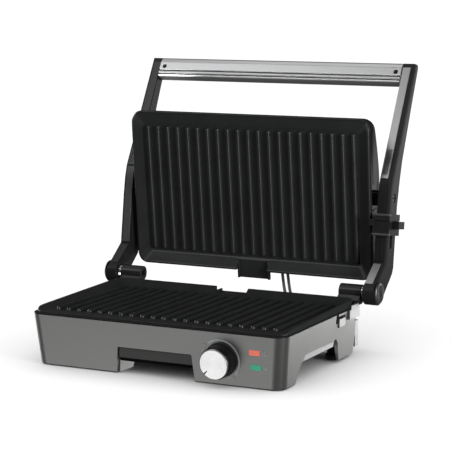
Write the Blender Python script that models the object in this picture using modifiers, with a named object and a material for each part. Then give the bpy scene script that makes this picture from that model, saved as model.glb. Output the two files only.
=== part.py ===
"""Panini press with an open lid: base, drip tray, knob, two side arms with a handle bar, and an upper platen.

Built in metres, +Z up, front of the press towards -Y. Lengths below are in millimetres in the press frame:
x = 0 on the middle plane, y = 0 on the top front edge of the base, z = 0 on the table.
"""
import math

import bmesh
import bpy
from mathutils import Matrix
from mathutils import Vector

MM = 0.001

# ---- driving dimensions (mm) ----
BASE_HALF_W = 165.0
BASE_DEPTH = 225.0
BASE_TOP = 62.4
BASE_BOTTOM = 0.8
BASE_DRAFT = 6.0
BASE_CORNER_R = 14.0
BASE_WALL = 3.0

PLATE_HALF_W = 163.5
PLATE_HALF_D = 100.0
PLATE_CORNER_R = 13.0
RIDGE_COUNT = 21
RIDGE_PITCH = 14.17
RIDGE_HALF_L = 81.5
RIDGE_H = 3.5
LOWER_PLATE_Y = 105.9
LOWER_PLATE_Z = 67.3

HINGE_Y = 224.0
HINGE_Z = 76.4
HINGE_BARREL_R = 9.2
PIN_R = 5.0
BORE_CLEARANCE = 0.08

ARM_IN = 170.5
ARM_OUT = 186.0
ARM_END_R = 14.5

PIVOT_Y = 272.0
PIVOT_Z = 186.0
PLATEN_TILT = -83.52
FACE_DEPTH = 19.7

BAR_HALF_L = 170.0
BAR_Y = 337.4
BAR_Z = 329.3
ARM_LEAN = 29.2

COLLAR_X = 178.3
COLLAR_Y = 265.4
COLLAR_Z = 154.0
COLLAR_LEAN = -7.69

KNOB_X = 84.7
KNOB_Z = 29.6
FRONT_TILT = math.degrees(math.atan2(BASE_DRAFT, BASE_TOP))

# the finished press is moved so that its frame origin is the middle of its footprint box
SHIFT_X = -3.8
SHIFT_Y = -166.708

for leftover in list(bpy.data.objects):
    bpy.data.objects.remove(leftover)

scene = bpy.context.scene
part = bpy.data.collections.new("panini_press")
cutters = bpy.data.collections.new("cutters")
scene.collection.children.link(part)
scene.collection.children.link(cutters)

MATERIALS = {}


def material(name, colour, metallic, roughness):
    mat = bpy.data.materials.new(name)
    mat.use_nodes = True
    shader = mat.node_tree.nodes["Principled BSDF"]
    shader.inputs["Base Color"].default_value = (colour[0], colour[1], colour[2], 1.0)
    shader.inputs["Metallic"].default_value = metallic
    shader.inputs["Roughness"].default_value = roughness
    mat.diffuse_color = (colour[0], colour[1], colour[2], 1.0)
    return mat


PALETTE = {
    "gunmetal": ((0.20, 0.20, 0.20), 0.4, 0.4),
    "black_plastic": ((0.02, 0.02, 0.02), 0.0, 0.45),
    "dark_plastic": ((0.05, 0.05, 0.05), 0.0, 0.4),
    "nonstick": ((0.03, 0.032, 0.032), 0.1, 0.45),
    "brushed": ((0.62, 0.62, 0.62), 0.9, 0.3),
    "satin": ((0.42, 0.42, 0.42), 0.7, 0.35),
    "steel": ((0.5, 0.5, 0.5), 1.0, 0.3),
    "sheet": ((0.6, 0.6, 0.6), 0.9, 0.4),
    "sheath": ((0.25, 0.24, 0.23), 0.8, 0.5),
    "rubber": ((0.03, 0.03, 0.03), 0.0, 0.8),
    "red_lens": ((0.75, 0.12, 0.08), 0.0, 0.2),
    "green_lens": ((0.05, 0.45, 0.25), 0.0, 0.2),
    "ceramic": ((0.8, 0.78, 0.72), 0.0, 0.5),
    "print": ((0.85, 0.85, 0.85), 0.0, 0.5),
    "braid": ((0.4, 0.4, 0.38), 0.1, 0.7),
}


def finish(name, mesh, mat, group=None, origin=(0.0, 0.0, 0.0), rot=(0.0, 0.0, 0.0), smooth=False):
    """Put a mesh in the scene. Its points are in mm about the given origin."""
    mesh.transform(Matrix.Scale(MM, 4))
    ob = bpy.data.objects.new(name, mesh)
    ob.location = Vector(origin) * MM
    ob.rotation_euler = [math.radians(a) for a in rot]
    (group or part).objects.link(ob)
    if mat:
        own = material(name + "_mat", *PALETTE[mat])
        mesh.materials.append(own)
    if smooth:
        mesh.shade_smooth()
    if group is cutters:
        ob.hide_render = True
        ob.display_type = "WIRE"
    return ob


def mesh_of(name, points, faces):
    mesh = bpy.data.meshes.new(name)
    bm = bmesh.new()
    verts = [bm.verts.new(p) for p in points]
    for f in faces:
        bm.faces.new([verts[i] for i in f])
    bmesh.ops.recalc_face_normals(bm, faces=bm.faces)
    bm.to_mesh(mesh)
    bm.free()
    return mesh


def shift_points(points, origin):
    return [(p[0] - origin[0], p[1] - origin[1], p[2] - origin[2]) for p in points]


def loft(name, rings, mat, cap_pairs=False, **kw):
    """Closed body through rings of equal length; cap_pairs closes the last ring with strips across x."""
    origin = kw.get("origin", (0.0, 0.0, 0.0))
    if kw.get("rot"):
        origin = (0.0, 0.0, 0.0)
    n = len(rings[0])
    points = shift_points([p for ring in rings for p in ring], origin)
    faces = []
    for k in range(len(rings) - 1):
        for i in range(n):
            j = (i + 1) % n
            faces.append((k * n + i, k * n + j, (k + 1) * n + j, (k + 1) * n + i))
    faces.append(tuple(range(n)))
    top = (len(rings) - 1) * n
    if cap_pairs:
        half = n // 2
        for i in range(half - 1):
            faces.append((top + i, top + i + 1, top + n - 2 - i, top + n - 1 - i))
    else:
        faces.append(tuple(top + i for i in range(n)))
    return finish(name, mesh_of(name, points, faces), mat, **kw)


def prism(name, outline, axis, lo, hi, mat, **kw):
    """Flat outline pulled along an axis: X takes (y, z), Y takes (x, z), Z takes (x, y)."""
    def at(p, h):
        if axis == "X":
            return (h, p[0], p[1])
        if axis == "Y":
            return (p[0], h, p[1])
        return (p[0], p[1], h)
    return loft(name, [[at(p, lo) for p in outline], [at(p, hi) for p in outline]], mat, **kw)


def box(name, x, y, z, mat, bevel=0.0, **kw):
    outline = [(x[0], y[0]), (x[1], y[0]), (x[1], y[1]), (x[0], y[1])]
    ob = prism(name, outline, "Z", z[0], z[1], mat, **kw)
    if bevel:
        add_bevel(ob, bevel)
    return ob


def add_bevel(ob, width, segments=2, angle=40.0):
    mod = ob.modifiers.new("edge", "BEVEL")
    mod.width = width * MM
    mod.segments = segments
    mod.limit_method = "ANGLE"
    mod.angle_limit = math.radians(angle)
    return ob


def pan(name, x, y, z, wall, mat, **kw):
    """Open tray: outer walls and floor of one thickness."""
    def rect(inset, h):
        return [(x[0] + inset, y[0] + inset, h), (x[1] - inset, y[0] + inset, h),
                (x[1] - inset, y[1] - inset, h), (x[0] + inset, y[1] - inset, h)]
    floor = z[0] + wall if z[1] > z[0] else z[0] - wall
    return loft(name, [rect(0, z[0]), rect(0, z[1]), rect(wall, z[1]), rect(wall, floor)], mat, **kw)


def lathe(name, profile, mat, origin, rot=(0.0, 0.0, 0.0), steps=48, ring=False, **kw):
    """Turned body: profile of (radius, height) down the outer side, about the local Z axis."""
    mesh = bpy.data.meshes.new(name)
    points = [(r, 0.0, h) for r, h in profile]
    edges = [(i, i + 1) for i in range(len(points) - 1)]
    if ring:
        edges.append((len(points) - 1, 0))
    mesh.from_pydata(points, edges, [])
    ob = finish(name, mesh, mat, origin=origin, rot=rot, **kw)
    mod = ob.modifiers.new("turn", "SCREW")
    mod.axis = "Z"
    mod.angle = math.radians(360.0)
    mod.steps = steps
    mod.render_steps = steps
    mod.use_merge_vertices = True
    mod.merge_threshold = 0.00001
    return ob


def circle(cy, cz, r, a0=0.0, a1=360.0, n=48):
    full = abs(a1 - a0) >= 360.0
    count = n if full else n + 1
    return [(cy + r * math.cos(math.radians(a0 + (a1 - a0) * i / n)),
             cz + r * math.sin(math.radians(a0 + (a1 - a0) * i / n))) for i in range(count)]


def boolean(ob, other, how="DIFFERENCE"):
    mod = ob.modifiers.new("cut_" + other.name, "BOOLEAN")
    mod.operation = how
    mod.solver = "EXACT"
    mod.object = other
    return ob


def cut_box(ob, name, x, y, z, how="DIFFERENCE", **kw):
    return boolean(ob, box(name, x, y, z, None, group=cutters, **kw), how)


def cut_prism(ob, name, outline, axis, lo, hi, how="DIFFERENCE", **kw):
    return boolean(ob, prism(name, outline, axis, lo, hi, None, group=cutters, **kw), how)


def rounded(hx, y0, y1, r, side=1, corner=6):
    """Rounded rectangle, right half first, front to back, so that points i and n-1-i are mirror pairs."""
    right = []
    for i in range(corner + 1):
        a = math.radians(-90.0 + 90.0 * i / corner)
        right.append((hx - r + r * math.cos(a), y0 + r + r * math.sin(a)))
    for i in range(1, side):
        right.append((hx, y0 + r + (y1 - y0 - 2 * r) * i / side))
    for i in range(corner + 1):
        a = math.radians(90.0 * i / corner)
        right.append((hx - r + r * math.cos(a), y1 - r + r * math.sin(a)))
    left = [(-p[0], p[1]) for p in reversed(right)]
    return right + left


def tube(name, path, radius, mat, sides=3, **kw):
    """Round tube along a path of points, with filled ends."""
    data = bpy.data.curves.new(name + "_path", "CURVE")
    data.dimensions = "3D"
    data.bevel_depth = radius * MM
    data.bevel_resolution = sides
    data.use_fill_caps = True
    line = data.splines.new("POLY")
    line.points.add(len(path) - 1)
    for i, p in enumerate(path):
        line.points[i].co = (p[0] * MM, p[1] * MM, p[2] * MM, 1.0)
    holder = bpy.data.objects.new(name + "_path", data)
    scene.collection.objects.link(holder)
    depsgraph = bpy.context.evaluated_depsgraph_get()
    mesh = bpy.data.meshes.new_from_object(holder.evaluated_get(depsgraph))
    bpy.data.objects.remove(holder)
    bm = bmesh.new()
    bm.from_mesh(mesh)
    bmesh.ops.remove_doubles(bm, verts=bm.verts, dist=0.00002)
    bmesh.ops.recalc_face_normals(bm, faces=bm.faces)
    bm.to_mesh(mesh)
    bm.free()
    mesh.transform(Matrix.Scale(1.0 / MM, 4))
    return finish(name, mesh, mat, smooth=True, **kw)


def fillet(corners, r, n=5):
    """Polyline with its inner corners rounded."""
    out = [Vector(corners[0])]
    for i in range(1, len(corners) - 1):
        c = Vector(corners[i])
        a = (Vector(corners[i - 1]) - c).normalized()
        b = (Vector(corners[i + 1]) - c).normalized()
        for k in range(n + 1):
            t = k / n
            p = c + a * r * (1 - t) ** 2 + b * r * t ** 2
            out.append(p)
    out.append(Vector(corners[-1]))
    return out


# ---- base housing ----
def base_inset(z):
    return BASE_DRAFT * (BASE_TOP - z) / BASE_TOP


def base_ring(z, extra):
    d = base_inset(z) + extra
    r = max(BASE_CORNER_R - extra, 2.0)
    return [(p[0], p[1], z) for p in rounded(BASE_HALF_W - d, d, BASE_DEPTH - d, r)]


housing = loft("base_housing", [
    base_ring(BASE_BOTTOM, 1.4),
    base_ring(BASE_BOTTOM + 1.4, 0.0),
    base_ring(BASE_TOP - 1.2, 0.0),
    base_ring(BASE_TOP, 1.2),
], "gunmetal")
SIDE_ARCH = [(38.0, -8.0), (40.0, 1.0), (46.0, 12.5), (52.0, 21.5), (54.5, 23.8), (58.0, 24.6), (144.5, 24.6),
             (145.2, 30.6), (147.0, 32.6), (150.0, 32.4), (153.5, 30.2), (157.0, 26.5), (158.7, 22.0),
              (160.3, 16.0), (162.6, 10.0), (166.0, 4.2), (238.0, 4.2), (238.0, -8.0)]
BAY = (-48.5, 48.5)
cut_box(housing, "cut_top", (-156, 156), (9, 201), (36.3, 70))
for side, tag in ((1, "right"), (-1, "left")):
    room = [(side * 51.5, 8.6), (side * 146.0, 8.6), (side * 156.6, 19.2), (side * 156.6, 201.6),
            (side * 51.5, 201.6)]
    cut_prism(housing, "cut_" + tag, room, "Z", -8, 42)
cut_box(housing, "cut_bay", BAY, (8.2, 150), (-8, 33))
cut_box(housing, "cut_back", (-60, 60), (153, 200.4), (-8, 41))
cut_box(housing, "cut_rear", (-151, 151), (204, 215), (-8, 59))
cut_prism(housing, "cut_arch", SIDE_ARCH, "X", -190, 190)
cut_prism(housing, "cut_rear_arch", [(-118, -8), (-112, 20), (112, 20), (118, -8)], "Y", 203, 239)
cut_prism(housing, "cut_slot", [(-51, -8), (-50.2, 6), (-48, 31), (-47, 32), (47, 32), (48, 31), (50.2, 6),
                                (51, -8)],
          "Y", -8, 10)
for side, tag in ((1, "r"), (-1, "l")):
    grip = [(53.0, 18.0), (57.5, 24.0), (62.5, 31.2), (149.0, 30.4), (149.0, 18.0)]
    lo, hi = sorted((side * 161.2, side * 175.0))
    cut_prism(housing, "cut_grip_" + tag, grip, "X", lo, hi)
    lo, hi = sorted((side * 157.5, side * 175.0))
    cut_box(housing, "cut_latch_" + tag, (lo, hi), (153.0, 172.5), (45.0, 58.8))
    lo, hi = sorted((side * 157.7, side * 176.0))
    cut_box(housing, "cut_latch_slot_" + tag, (lo, hi), (145.6, 153.4), (50.8, 64.0))
    lo, hi = sorted((side * 150.0, side * 162.0))
    cut_box(housing, "cut_latch_stem_" + tag, (lo, hi), (156.5, 168.5), (47.5, 54.5))
    corner = [(side * 167.5, 197.5), (side * 151.5, 232.0), (side * 180.0, 240.0), (side * 180.0, 197.5)]
    cut_prism(housing, "cut_corner_" + tag, corner, "Z", -9, 49.5)
    lo, hi = sorted((side * 161.0, side * 167.2))
    cut_box(housing, "add_shoulder_" + tag, (lo, hi), (180.5, 211.0), (50.5, 61.6), "UNION")
    lo, hi = sorted((side * 164.3, side * 167.0))
    cut_box(housing, "add_lip_" + tag, (lo, hi), (186.0, 208.5), (60.0, 66.4), "UNION")
    lo, hi = sorted((side * 143.0, side * 152.0))
    cut_box(housing, "add_cleat_neck_" + tag, (lo, hi), (217.5, 230.0), (12.0, 35.0), "UNION")
    lo, hi = sorted((side * 140.5, side * 154.4))
    cut_box(housing, "add_cleat_end_" + tag, (lo, hi), (228.0, 237.5), (7.5, 39.5), "UNION")
knob_hole = lathe("cut_knob", [(0, 12), (7, 12), (7, -12), (0, -12)], None,
                  (KNOB_X, base_inset(KNOB_Z), KNOB_Z), (90 + FRONT_TILT, 0, 0), group=cutters)
boolean(housing, knob_hole)
LENSES = {"lens_power": (127.2, 42.0, "red_lens"), "lens_ready": (128.4, 25.3, "green_lens")}
for name, (lx, lz, _) in LENSES.items():
    cut_box(housing, "cut_" + name, (lx - 6.7, lx + 6.7), (-6, 10), (lz - 3.2, lz + 3.2))
cut_box(housing, "cut_inlet", (-14.3, 14.3), (212, 232), (36.7, 57.3))
cut_box(housing, "cut_lead_hole", (46.9, 59.5), (212, 232), (44.6, 49.4))

# ---- base inner pieces ----
cover_outline = [(-155.6, 19.3), (-145.7, 9.4), (-52.2, 9.4), (-52.2, 153.6), (52.2, 153.6), (52.2, 9.4),
                 (145.7, 9.4), (155.6, 19.3), (155.6, 200.0), (-155.6, 200.0)]
prism("bottom_cover", cover_outline, "Z", 24.8, 27.0, "black_plastic")
channel = [(-48.1, 32.6), (-48.1, 16.5), (-46.6, 14.8), (46.6, 14.8), (48.1, 16.5), (48.1, 32.6), (46.8, 32.6),
           (46.8, 16.4), (-46.8, 16.4), (-46.8, 32.6)]
prism("tray_guide", channel, "Y", 9.4, 149.6, "black_plastic")
pan("lower_reflector", (-150, 150), (15, 195), (40, 50), 1.0, "sheet")
element_path = fillet([(-14, 192, 54), (-14, 165, 54), (-118, 165, 54), (-118, 42, 54), (118, 42, 54),
                       (118, 165, 54),
                       (14, 165, 54), (14, 192, 54)], 22.0, 6)
tube("lower_element", element_path, 3.2, "sheath")
box("thermostat", (71, 102), (12.5, 33), (27.6, 39.3), "steel", 0.6)
box("lamp_block", (118, 139), (12.5, 24), (27.6, 39.3), "ceramic", 0.6)
box("terminal_block", (62, 98), (168, 184), (27.6, 38.6), "ceramic", 0.8)
for name, (lx, lz, mat) in LENSES.items():
    front = base_inset(lz)
    lens = [(lx - 6.4, lz - 2.9), (lx + 6.4, lz - 2.9), (lx + 6.4, lz + 2.9), (lx - 6.4, lz + 2.9)]
    add_bevel(prism(name, lens, "Y", front - 0.7, 9.1, mat), 0.5)
inlet = box("power_inlet", (-14, 14), (205, 222.6), (37, 57), "black_plastic", 0.8)
socket = [(-11.5, 40.5), (11.5, 40.5), (11.5, 50.5), (7.5, 54.5), (-7.5, 54.5), (-11.5, 50.5)]
cut_prism(inlet, "cut_socket", socket, "Y", 209, 230)

SCALE_A0 = -40.0
SCALE_A1 = 128.0
arc = circle(0, 0, 24.3, SCALE_A0, SCALE_A1, 30) + list(reversed(circle(0, 0, 22.7, SCALE_A0, SCALE_A1, 30)))
prism("temperature_scale", arc, "Z", 0.25, 0.75, "print", origin=(KNOB_X, base_inset(KNOB_Z), KNOB_Z),
      rot=(90 + FRONT_TILT, 0, 0))

for tag, fx, fy in (("front_left", -143, 21), ("front_right", 143, 21), ("rear_left", -143, 184),
                    ("rear_right", 143, 184)):
    lathe("foot_" + tag, [(0, 24.5), (6, 24.5), (6, 8), (8.4, 6.5), (8.8, 1.0), (7.8, 0), (0, 0)], "rubber",
          (fx, fy, 0),
          steps=32)

# ---- main hinge, fixed side ----
barrel_arc = circle(HINGE_Y, HINGE_Z, HINGE_BARREL_R, -52, 198, 30)
saddle = [(209.0, 62.7), (222.6, 62.7)] + barrel_arc + [(209.0, 68.5)]
for side, tag in ((1, "right"), (-1, "left")):
    lo, hi = sorted((side * 137.5, side * 165.8))
    bracket = prism("hinge_bracket_" + tag, saddle, "X", lo, hi, "dark_plastic")
    cut_prism(bracket, "cut_bracket_bore_" + tag, circle(HINGE_Y, HINGE_Z, PIN_R + BORE_CLEARANCE), "X",
              side * 120, side * 180)
    turn = (0, 90 * side, 0)
    lathe("hinge_washer_" + tag, [(5.2, 4.0), (9.0, 4.0), (9.0, 0.0), (5.2, 0.0)], "brushed",
          (side * 166.2, HINGE_Y, HINGE_Z), turn, ring=True, smooth=False)
    lathe("hinge_pin_" + tag, [(0, 48.0), (4.4, 48.0), (PIN_R, 47.4), (PIN_R, 0.6), (4.4, 0), (0, 0)], "steel",
          (side * 138.2, HINGE_Y, HINGE_Z), turn)

# ---- grill plates (one pattern, used twice) ----
def rim_height(y):
    front = -PLATE_HALF_D
    if y <= front + 4.0:
        return -2.8
    if y <= front + 16.0:
        return -2.8 + 3.8 * (y - front - 4.0) / 12.0
    return 1.0 + 4.0 * (y - front - 16.0) / (2 * PLATE_HALF_D - 16.0)


def grill_plate(name, flip, origin, rot):
    def ring(inset_x, inset_f, inset_b, r, height):
        pts = rounded(PLATE_HALF_W - inset_x, -PLATE_HALF_D + inset_f, PLATE_HALF_D - inset_b, r, side=12)
        return [(p[0], p[1], height(p[1]) if callable(height) else height) for p in pts]

    rings = [
        ring(12, 12, 12, 8, -9.5),
        ring(10, 10, 10, 8, -4.5),
        ring(0.8, 0.8, 0.8, PLATE_CORNER_R, -4.5),
        ring(0, 0, 0, PLATE_CORNER_R, -3.7),
        ring(0, 0, 0, PLATE_CORNER_R, lambda y: rim_height(y) - 0.5),
        ring(0.8, 0.8, 0.8, PLATE_CORNER_R - 0.8, rim_height),
        ring(2.6, 2.4, 2.6, PLATE_CORNER_R - 2.6, rim_height),
        ring(16.0, 17.6, 16.6, 5, -RIDGE_H),
    ]
    side = -1.0 if flip else 1.0
    rings = [[(side * p[0], p[1], side * p[2]) for p in r] for r in rings]
    body = loft(name, rings, "nonstick", origin=origin, rot=rot)

    def tool(tag, x, y, z, how):
        lo, hi = sorted((side * z[0], side * z[1]))
        cut_box(body, name + "_" + tag, x, y, (lo, hi), how, origin=origin, rot=rot)

    tool("notch", (-22, 22), (82, 120), (-RIDGE_H + 0.6, 20), "DIFFERENCE")
    tool("spout", (-22, 22), (88, 111), (-4.3, -RIDGE_H + 0.7), "UNION")
    tool("spout_l", (-22.2, -20), (88, 111.2), (-4.1, 0.0), "UNION")
    tool("spout_r", (20, 22.2), (88, 111.2), (-4.1, 0.0), "UNION")
    points = []
    faces = []
    for i in range(RIDGE_COUNT):
        cx = (i - (RIDGE_COUNT - 1) / 2) * RIDGE_PITCH
        k = len(points)
        for half_w, half_l, z in ((3.1, RIDGE_HALF_L + 0.6, -RIDGE_H - 1.5),
                                  (3.1, RIDGE_HALF_L + 0.6, -RIDGE_H + 0.2),
                                  (1.5, RIDGE_HALF_L - 1.2, 0.0)):
            for sx, sy in ((-1, -1), (1, -1), (1, 1), (-1, 1)):
                points.append((side * (cx + sx * half_w), sy * half_l, side * z))
        faces.append((k, k + 1, k + 2, k + 3))
        for level in (0, 4):
            for j in range(4):
                m = (j + 1) % 4
                faces.append((k + level + j, k + level + m, k + level + 4 + m, k + level + 4 + j))
        faces.append((k + 8, k + 9, k + 10, k + 11))
    ridges = finish(name + "_ridges", mesh_of(name + "_ridges", points, faces), None, group=cutters,
                    origin=origin,
                    rot=rot)
    boolean(body, ridges, "UNION")
    return body


grill_plate("lower_grill_plate", False, (0, LOWER_PLATE_Y, LOWER_PLATE_Z), (0, 0, 0.0001))

# ---- plate release latches on the base sides ----
for side, tag in ((1, "right"), (-1, "left")):
    lo, hi = sorted((side * 161.0, side * 165.2))
    origin = (side * 163.0, 162.7, 50.6)
    latch = box("plate_latch_" + tag, (lo, hi), (153.4, 172.1), (45.4, 55.8), "gunmetal", 0.5, origin=origin)
    lo, hi = sorted((side * 153.8, side * 162.0))
    cut_box(latch, "add_latch_stem_" + tag, (lo, hi), (157.0, 168.0), (48.0, 54.0), "UNION")

# ---- drip tray ----
TRAY_ORIGIN = (0, 8, 25)
pan("drip_tray", (-46.3, 46.3), (9.0, 145.0), (17.0, 31.0), 1.4, "dark_plastic", origin=TRAY_ORIGIN)
tray_face = [(-47.3, 19.4), (47.9, 19.4), (47.3, 31.3), (-46.8, 31.3)]
add_bevel(prism("drip_tray_front", tray_face, "Y", 5.2, 8.7, "gunmetal", origin=TRAY_ORIGIN), 0.4)

# ---- temperature knob ----
KNOB_ORIGIN = (KNOB_X, base_inset(KNOB_Z), KNOB_Z)
KNOB_ROT = (90 + FRONT_TILT, 0, 0)
lathe("knob_skirt", [(3.3, 14.6), (3.3, 15.9), (17.9, 15.9), (18.3, 15.4), (19.5, 2.6), (19.9, 1.4),
                     (19.7, 1.0),
                     (3.3, 1.0)], "black_plastic", KNOB_ORIGIN, KNOB_ROT, ring=True, steps=64)
cap = lathe("knob_cap", [(0, 18.126), (17.1, 18.126), (17.8, 17.4), (17.8, 16.2), (0, 16.2)], "brushed",
            KNOB_ORIGIN,
            KNOB_ROT, steps=64)
pointer = box("cut_pointer", (-0.8, 0.8), (-19, -11.9), (17.3, 19.2), None, group=cutters, origin=KNOB_ORIGIN,
              rot=KNOB_ROT)
pointer.rotation_euler.rotate_axis("Z", math.radians(-46.0))
boolean(cap, pointer)
lathe("knob_shaft", [(0, 13.6), (2.6, 13.6), (3.0, 13.2), (3.0, -8.6), (0, -8.6)], "steel", KNOB_ORIGIN,
      KNOB_ROT,
      steps=32)

# ---- side arms ----
FRONT_LINE = [(337.2, 343.0), (262.5, 210.0), (258.0, 195.0), (254.3, 175.0), (245.5, 110.0), (213.0, 86.8)]
REAR_LINE = [(234.0, 65.9), (247.5, 76.6), (261.0, 87.4), (268.5, 93.6), (272.2, 100.5), (273.5, 110.0),
             (282.3, 175.0),
             (286.5, 190.0), (290.5, 206.0), (298.5, 230.0), (330.5, 300.0), (349.5, 340.0), (348.4, 343.8),
             (341.5, 346.0)]
ARM_ORIGIN = (0, HINGE_Y, HINGE_Z)


def front_y(z):
    for (y1, z1), (y0, z0) in zip(FRONT_LINE[:-1], FRONT_LINE[1:]):
        if z0 <= z <= z1:
            return y0 + (y1 - y0) * (z - z0) / (z1 - z0)
    return FRONT_LINE[-1][0]


core_front = [(p[0] + 1.5, p[1]) for p in FRONT_LINE[:-1]] + [(215.6, 87.6)]
arm_outline = core_front + circle(HINGE_Y, HINGE_Z, ARM_END_R, 134, 313, 20)[1:] + REAR_LINE
for side, tag in ((1, "right"), (-1, "left")):
    lo, hi = sorted((side * ARM_IN, side * ARM_OUT))
    arm = prism("arm_" + tag, arm_outline, "X", lo, hi, "dark_plastic", origin=ARM_ORIGIN)
    cut_prism(arm, "cut_arm_hinge_" + tag, circle(HINGE_Y, HINGE_Z, PIN_R + BORE_CLEARANCE), "X", side * 160,
              side * 195, origin=ARM_ORIGIN)
    cut_prism(arm, "cut_arm_pivot_" + tag, circle(PIVOT_Y, PIVOT_Z, 4.08), "X", side * 160, side * 195,
              origin=ARM_ORIGIN)
    cut_prism(arm, "cut_arm_counterbore_" + tag, circle(PIVOT_Y, PIVOT_Z, 5.4), "X", side * 181.5, side * 195,
              origin=ARM_ORIGIN)
    if side == 1:
        slot = [(258.2, 125.5), (264.9, 125.5), (269.75, 161.5), (263.05, 161.5)]
        cut_prism(arm, "cut_arm_slot", slot, "X", 160, 195, origin=ARM_ORIGIN)
    chamfer = [(side * 181.4, -4), (side * 190, -4), (side * 190, 10), (side * 186.2, 7.5)]
    wedge_rings = []
    for y, z in [(350, 368)] + FRONT_LINE[:-1] + [(206.5, 80.0)]:
        wedge_rings.append([(cx, y + cy, z) for cx, cy in chamfer])
    wedge = loft("cut_arm_edge_" + tag, wedge_rings, None, group=cutters, origin=ARM_ORIGIN)
    boolean(arm, wedge)
    for section, (z1, z0) in (("upper", (341.5, 211.0)), ("mid", (208.6, 112.0)), ("lower", (109.0, 89.0))):
        zs = [z1] + [p[1] for p in FRONT_LINE if z0 < p[1] < z1] + [z0]
        outline = [(front_y(z), z) for z in zs] + [(front_y(z) + 1.2, z) for z in reversed(zs)]
        lo, hi = sorted((side * (ARM_IN + 0.5), side * 181.0))
        colour = "brushed" if (section == "mid") != (side == 1) else "dark_plastic"
        prism("arm_trim_%s_%s" % (section, tag), outline, "X", lo, hi, colour, origin=ARM_ORIGIN)
    turn = (0, 90 * side, 0)
    disc = lathe("hinge_cap_" + tag, [(0, 2.6), (10.5, 2.6), (12.6, 1.6), (13.2, 0.0), (0, 0.0)], "satin",
                 (side * 186.3, HINGE_Y, HINGE_Z), turn)
    hexagon = prism("cut_cap_hex_" + tag, circle(0, 0, 4.2, n=6), "Z", 1.0, 6, None, group=cutters,
                    origin=(side * 186.3, HINGE_Y, HINGE_Z), rot=turn)
    boolean(disc, hexagon)
    screw = lathe("pivot_screw_" + tag, [(0, 3.4), (4.4, 3.4), (5.0, 2.6), (5.0, 0), (0, 0)], "steel",
                  (side * 181.9, PIVOT_Y, PIVOT_Z), turn, steps=32)
    cut_box(screw, "cut_screw_slot_" + tag, (-0.7, 0.7), (-6, 6), (2.4, 6),
            origin=(side * 181.9, PIVOT_Y, PIVOT_Z),
            rot=turn)

# ---- handle bar ----
bar_section = []
for a, b in ((18.9, -3.6), (17.0, 2.5), (13.4, 6.6), (8.4, 8.5), (-1.6, 8.5), (-2.6, 7.6), (-3.6, 8.5),
             (-6.2, 8.5), (-7.4, 7.2), (-8.6, 8.1), (-10.2, 6.0), (-11.3, 2.0), (-11.3, -5.0), (-8.0, -8.5),
             (10.5, -8.5)):
    lean = math.radians(ARM_LEAN)
    up = (math.sin(lean), math.cos(lean))
    out = (-math.cos(lean), math.sin(lean))
    bar_section.append((BAR_Y + a * up[0] + b * out[0], BAR_Z + a * up[1] + b * out[1]))
bar = prism("handle_bar", bar_section, "X", -BAR_HALF_L, BAR_HALF_L, "brushed", origin=ARM_ORIGIN)
for side, tag in ((1, "right"), (-1, "left")):
    lean = math.radians(ARM_LEAN)
    spot = (side * 163.0, BAR_Y + 3.0 * math.sin(lean), BAR_Z + 3.0 * math.cos(lean))
    turn = (90 - ARM_LEAN, 0, 0)
    hole = lathe("cut_bar_screw_" + tag, [(0, 12), (2.9, 12), (2.9, 4.6), (0, 4.6)], None, spot, turn,
                 group=cutters,
                 steps=24)
    boolean(bar, hole)
    lathe("handle_screw_" + tag, [(0, 7.6), (2.2, 7.6), (2.6, 7.1), (2.6, 5.0), (0, 5.0)], "dark_plastic",
          spot, turn,
          steps=24)

# ---- float lock collar and lever on the right arm ----
COLLAR = (COLLAR_X, COLLAR_Y, COLLAR_Z)
COLLAR_ROT = (COLLAR_LEAN, 0, 0)
collar = box("lock_collar", (-11.0, 11.0), (-17.6, 17.6), (-13.0, 13.0), "dark_plastic", origin=COLLAR,
             rot=COLLAR_ROT)
cut_box(collar, "cut_collar_hole", (-8.15, 8.1), (-14.3, 14.3), (-20, 20), origin=COLLAR, rot=COLLAR_ROT)
cut_box(collar, "cut_collar_front", (-8.6, 12.0), (-20.0, -15.9), (-3.6, 5.2), origin=COLLAR, rot=COLLAR_ROT)
cut_box(collar, "cut_collar_side", (9.6, 12.0), (-12.0, 20.0), (-5.0, 5.0), origin=COLLAR, rot=COLLAR_ROT)
cut_box(collar, "cut_collar_bar", (-15.0, 15.0), (-3.3, 3.3), (-4.3, 4.3), origin=COLLAR, rot=COLLAR_ROT)
cut_box(collar, "add_collar_tab", (-14.0, -10.0), (-22.0, -12.0), (-1.6, 6.4), "UNION", origin=COLLAR,
        rot=COLLAR_ROT)
lever = box("lock_lever", (-10.6, 17.8), (-3.0, 3.0), (-4.0, 4.0), "black_plastic", origin=COLLAR,
            rot=COLLAR_ROT)
cut_box(lever, "add_lever_tab", (11.6, 18.2), (-3.6, 15.6), (-4.6, 4.6), "UNION", origin=COLLAR,
        rot=COLLAR_ROT)

# ---- platen: frame at the pivot, closed position rotated open ----
PIVOT = (0, PIVOT_Y, PIVOT_Z)
OPEN = (PLATEN_TILT, 0, 0)


def dome(y):
    if y < -20.0:
        return 31.0 - 13.5 * ((-20.0 - y) / 77.0) ** 1.6
    return 31.0 - 3.0 * ((y + 20.0) / 117.0) ** 2


def dome_rings(inset, low):
    rings = []
    for extra, drop, share in ((0.0, 0.0, 0.0), (0.6, 0.0, 0.45), (2.2, 7.5, 1.0), (5.0, 2.6, 1.0),
                               (10.0, 0.0, 1.0)):
        d = inset + extra
        pts = rounded(160.0 - d, -97.5 + d, 97.5 - d, max(14.0 - 0.4 * d, 4.0), side=14)
        ring = []
        for x, y in pts:
            top = dome(y) - inset
            z = low + share * (top - drop - low) if share else low
            ring.append((x, y, z))
        rings.append(ring)
    return rings


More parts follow.
